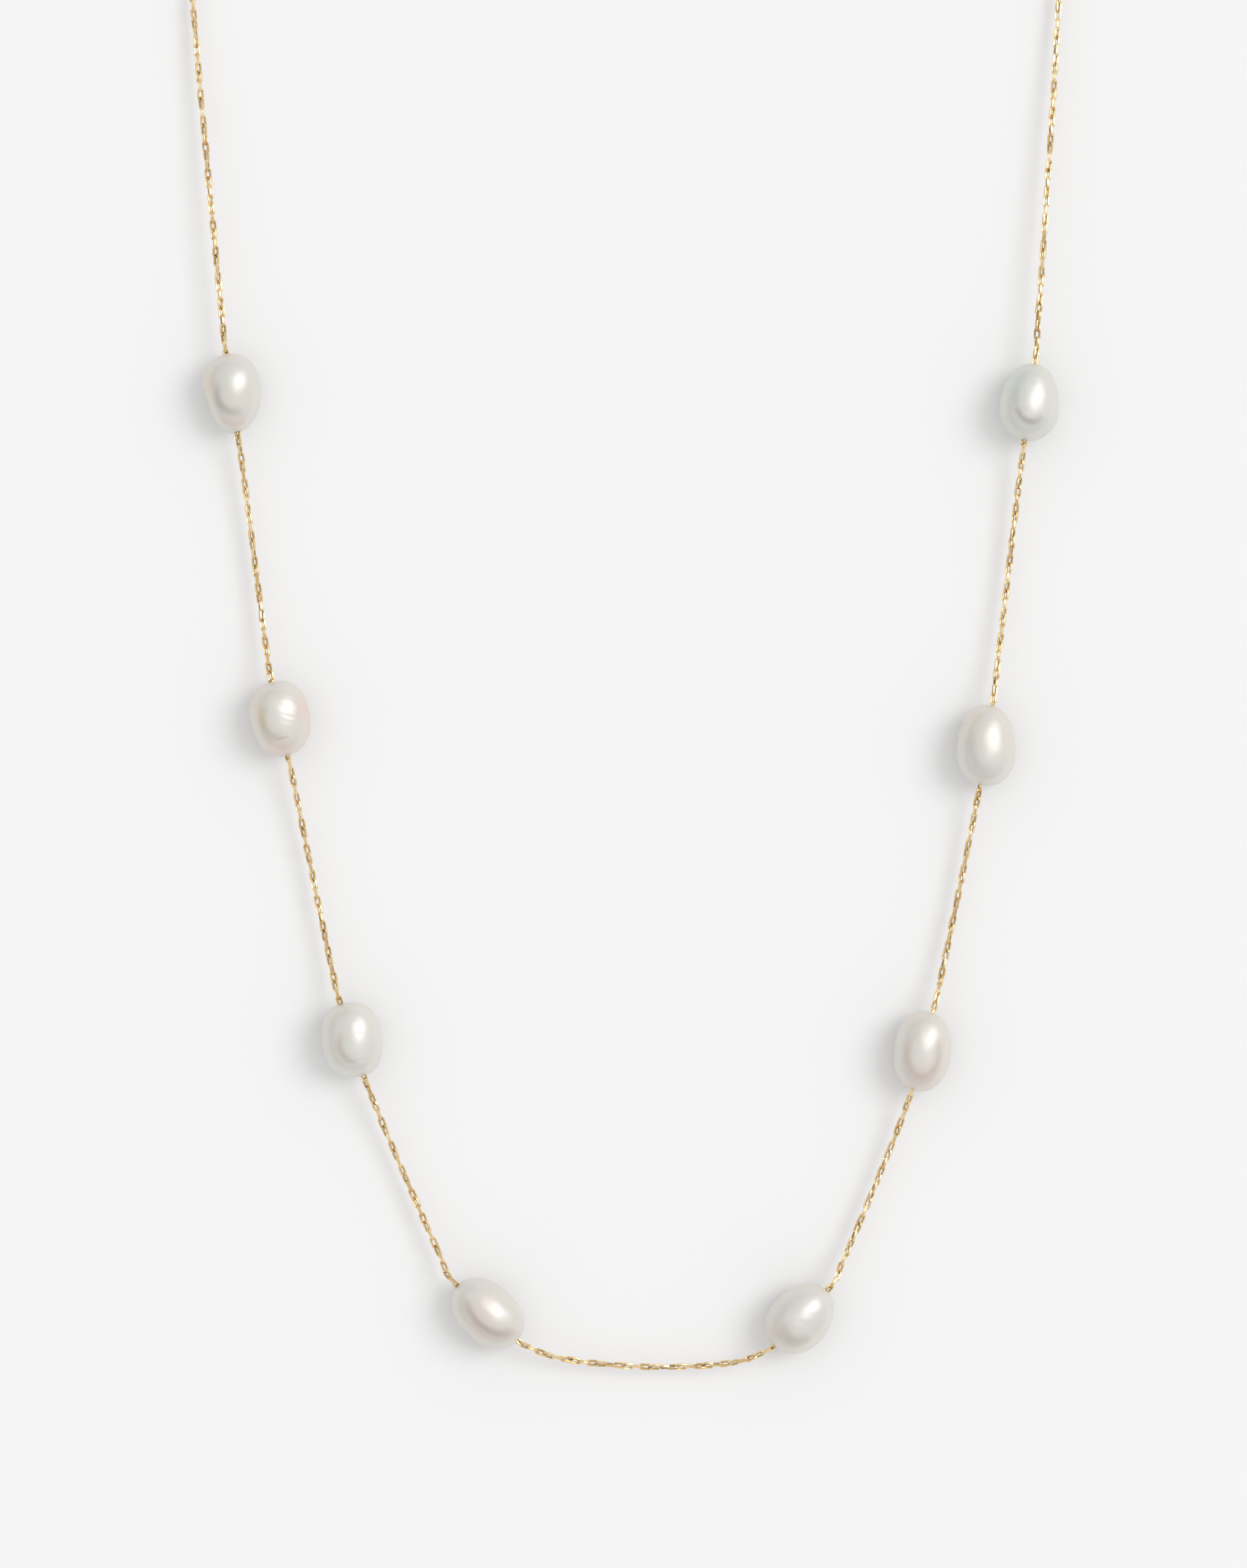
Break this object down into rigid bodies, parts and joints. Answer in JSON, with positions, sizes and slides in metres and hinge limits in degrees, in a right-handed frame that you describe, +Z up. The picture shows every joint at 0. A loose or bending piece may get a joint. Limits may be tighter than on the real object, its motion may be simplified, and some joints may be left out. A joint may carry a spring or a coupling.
{
  "type": "pearl station necklace",
  "caption": "Station necklace: oval freshwater pearls fixed at intervals on a fine gold cable chain, with a lobster clasp and a catch ring, laid out open in a U.",
  "frame": {"origin": "middle of the laid-out outline in plan, at the height of the table it lies on", "axes": "+Z up from the table, +Y along the legs of the U towards the clasp ends, +X to the right seen from above with the bottom run nearest"},
  "size_m": [0.1016, 0.2244, 0.0069],
  "materials": {
    "nacre": "satin pearl lustre with greenish and pinkish overtones",
    "gold": "polished light yellow gold plate, diamond-cut",
    "spring": "hard-drawn spring strip"
  },
  "bodies": {
    "bottom": {"chain_bottom": "gold"},
    "left_1": {"chain_left_1": "gold", "pearl_4": "nacre", "sleeve_4": "gold"},
    "left_2": {"chain_left_2": "gold"},
    "left_3": {"chain_left_3": "gold", "pearl_3": "nacre", "sleeve_3": "gold"},
    "left_4": {"chain_left_4": "gold"},
    "left_5": {"chain_left_5": "gold", "pearl_2": "nacre", "sleeve_2": "gold"},
    "left_6": {"chain_left_6": "gold"},
    "left_7": {"chain_left_7": "gold", "pearl_1": "nacre", "sleeve_1": "gold"},
    "left_8": {"chain_left_8": "gold"},
    "left_9": {"chain_left_9": "gold"},
    "left_10": {"chain_left_10": "gold", "end_link_left": "gold"},
    "right_1": {"chain_right_1": "gold", "pearl_5": "nacre", "sleeve_5": "gold"},
    "right_2": {"chain_right_2": "gold"},
    "right_3": {"chain_right_3": "gold", "pearl_6": "nacre", "sleeve_6": "gold"},
    "right_4": {"chain_right_4": "gold"},
    "right_5": {"chain_right_5": "gold", "pearl_7": "nacre", "sleeve_7": "gold"},
    "right_6": {"chain_right_6": "gold"},
    "right_7": {"chain_right_7": "gold", "pearl_8": "nacre", "sleeve_8": "gold"},
    "right_8": {"chain_right_8": "gold"},
    "right_9": {"chain_right_9": "gold"},
    "right_10": {"chain_right_10": "gold", "end_link_right": "gold"},
    "left_ring": {"jump_ring_left": "gold"},
    "clasp": {"clasp_claw": "gold", "clasp_rivet": "gold", "clasp_spring": "spring"},
    "lever": {"clasp_lever": "gold"},
    "right_ring": {"jump_ring_right": "gold"},
    "catch": {"catch_ring": "gold"}
  },
  "joints": [
    {"name": "left_1_bend", "type": "hinge", "parent": "bottom", "child": "left_1", "pos_m": [-0.01137, -0.1091, 0.0033], "axis": [0, 0, 1], "range_deg": [-22, 60]},
    {"name": "left_2_bend", "type": "hinge", "parent": "left_1", "child": "left_2", "pos_m": [-0.02424, -0.0909, 0.00212], "axis": [0.918, 0.3966, 0], "range_deg": [-60, 60]},
    {"name": "left_3_bend", "type": "hinge", "parent": "left_2", "child": "left_3", "pos_m": [-0.02901, -0.07926, 0.00343], "axis": [0, 0, -1], "range_deg": [-60, 26]},
    {"name": "left_4_bend", "type": "hinge", "parent": "left_3", "child": "left_4", "pos_m": [-0.0349, -0.05666, 0.00217], "axis": [-0.9799, -0.1993, 0], "range_deg": [-60, 60]},
    {"name": "left_5_bend", "type": "hinge", "parent": "left_4", "child": "left_5", "pos_m": [-0.03765, -0.04308, 0.00343], "axis": [0, 0, 1], "range_deg": [-34, 60]},
    {"name": "left_6_bend", "type": "hinge", "parent": "left_5", "child": "left_6", "pos_m": [-0.04161, -0.02014, 0.00211], "axis": [0.9917, 0.1285, 0], "range_deg": [-60, 60]},
    {"name": "left_7_bend", "type": "hinge", "parent": "left_6", "child": "left_7", "pos_m": [-0.04337, -0.00654, 0.0033], "axis": [0, 0, -1], "range_deg": [-60, 45]},
    {"name": "left_8_bend", "type": "hinge", "parent": "left_7", "child": "left_8", "pos_m": [-0.04685, 0.02377, 0.00263], "axis": [-0.9954, -0.0963, 0], "range_deg": [-60, 60]},
    {"name": "left_9_bend", "type": "hinge", "parent": "left_8", "child": "left_9", "pos_m": [-0.04909, 0.0489, 0.00129], "axis": [0, 0, 1], "range_deg": [-60, 60]},
    {"name": "left_10_bend", "type": "hinge", "parent": "left_9", "child": "left_10", "pos_m": [-0.05041, 0.07412, 0.00043], "axis": [0.9999, 0.0168, 0], "range_deg": [-60, 60]},
    {"name": "right_1_bend", "type": "hinge", "parent": "bottom", "child": "right_1", "pos_m": [0.01691, -0.10969, 0.00337], "axis": [0, 0, 1], "range_deg": [-60, 22]},
    {"name": "right_2_bend", "type": "hinge", "parent": "right_1", "child": "right_2", "pos_m": [0.02846, -0.09198, 0.00206], "axis": [-0.9239, 0.3827, 0], "range_deg": [-60, 60]},
    {"name": "right_3_bend", "type": "hinge", "parent": "right_2", "child": "right_3", "pos_m": [0.03273, -0.08092, 0.00325], "axis": [0, 0, -1], "range_deg": [-26, 60]},
    {"name": "right_4_bend", "type": "hinge", "parent": "right_3", "child": "right_4", "pos_m": [0.03805, -0.05884, 0.00205], "axis": [0.9794, -0.2017, 0], "range_deg": [-60, 60]},
    {"name": "right_5_bend", "type": "hinge", "parent": "right_4", "child": "right_5", "pos_m": [0.04048, -0.04648, 0.00335], "axis": [0, 0, 1], "range_deg": [-60, 34]},
    {"name": "right_6_bend", "type": "hinge", "parent": "right_5", "child": "right_6", "pos_m": [0.04383, -0.0219, 0.00211], "axis": [-0.9932, 0.1164, 0], "range_deg": [-60, 60]},
    {"name": "right_7_bend", "type": "hinge", "parent": "right_6", "child": "right_7", "pos_m": [0.04555, -0.0074, 0.00337], "axis": [0, 0, -1], "range_deg": [-45, 60]},
    {"name": "right_8_bend", "type": "hinge", "parent": "right_7", "child": "right_8", "pos_m": [0.0483, 0.0227, 0.00269], "axis": [0.9977, -0.0685, 0], "range_deg": [-60, 60]},
    {"name": "right_9_bend", "type": "hinge", "parent": "right_8", "child": "right_9", "pos_m": [0.04984, 0.04789, 0.00131], "axis": [0, 0, 1], "range_deg": [-60, 60]},
    {"name": "right_10_bend", "type": "hinge", "parent": "right_9", "child": "right_10", "pos_m": [0.05045, 0.07314, 0.00043], "axis": [-0.9999, -0.0111, 0], "range_deg": [-60, 60]},
    {"name": "left_ring_swing", "type": "hinge", "parent": "left_10", "child": "left_ring", "pos_m": [-0.04926, 0.10014, 0.00146], "axis": [0, 0, 1], "range_deg": [-70, 70]},
    {"name": "clasp_swing", "type": "hinge", "parent": "left_ring", "child": "clasp", "pos_m": [-0.04913, 0.10133, 0.00146], "axis": [-0.994, 0.1097, 0], "range_deg": [-45, 45]},
    {"name": "lever_turn", "type": "hinge", "parent": "clasp", "child": "lever", "pos_m": [-0.04907, 0.10505, 0.00133], "axis": [-0.004, -0.0365, -0.9993], "range_deg": [0, 26], "stiffness_Nm_per_rad": 0.001},
    {"name": "right_ring_swing", "type": "hinge", "parent": "right_10", "child": "right_ring", "pos_m": [0.04858, 0.09911, 0.00146], "axis": [0, 0, 1], "range_deg": [-70, 70]},
    {"name": "catch_ring_swing", "type": "hinge", "parent": "right_ring", "child": "catch", "pos_m": [0.04841, 0.1003, 0.00146], "axis": [-0.9905, -0.1374, 0], "range_deg": [-45, 45]}
  ]
}
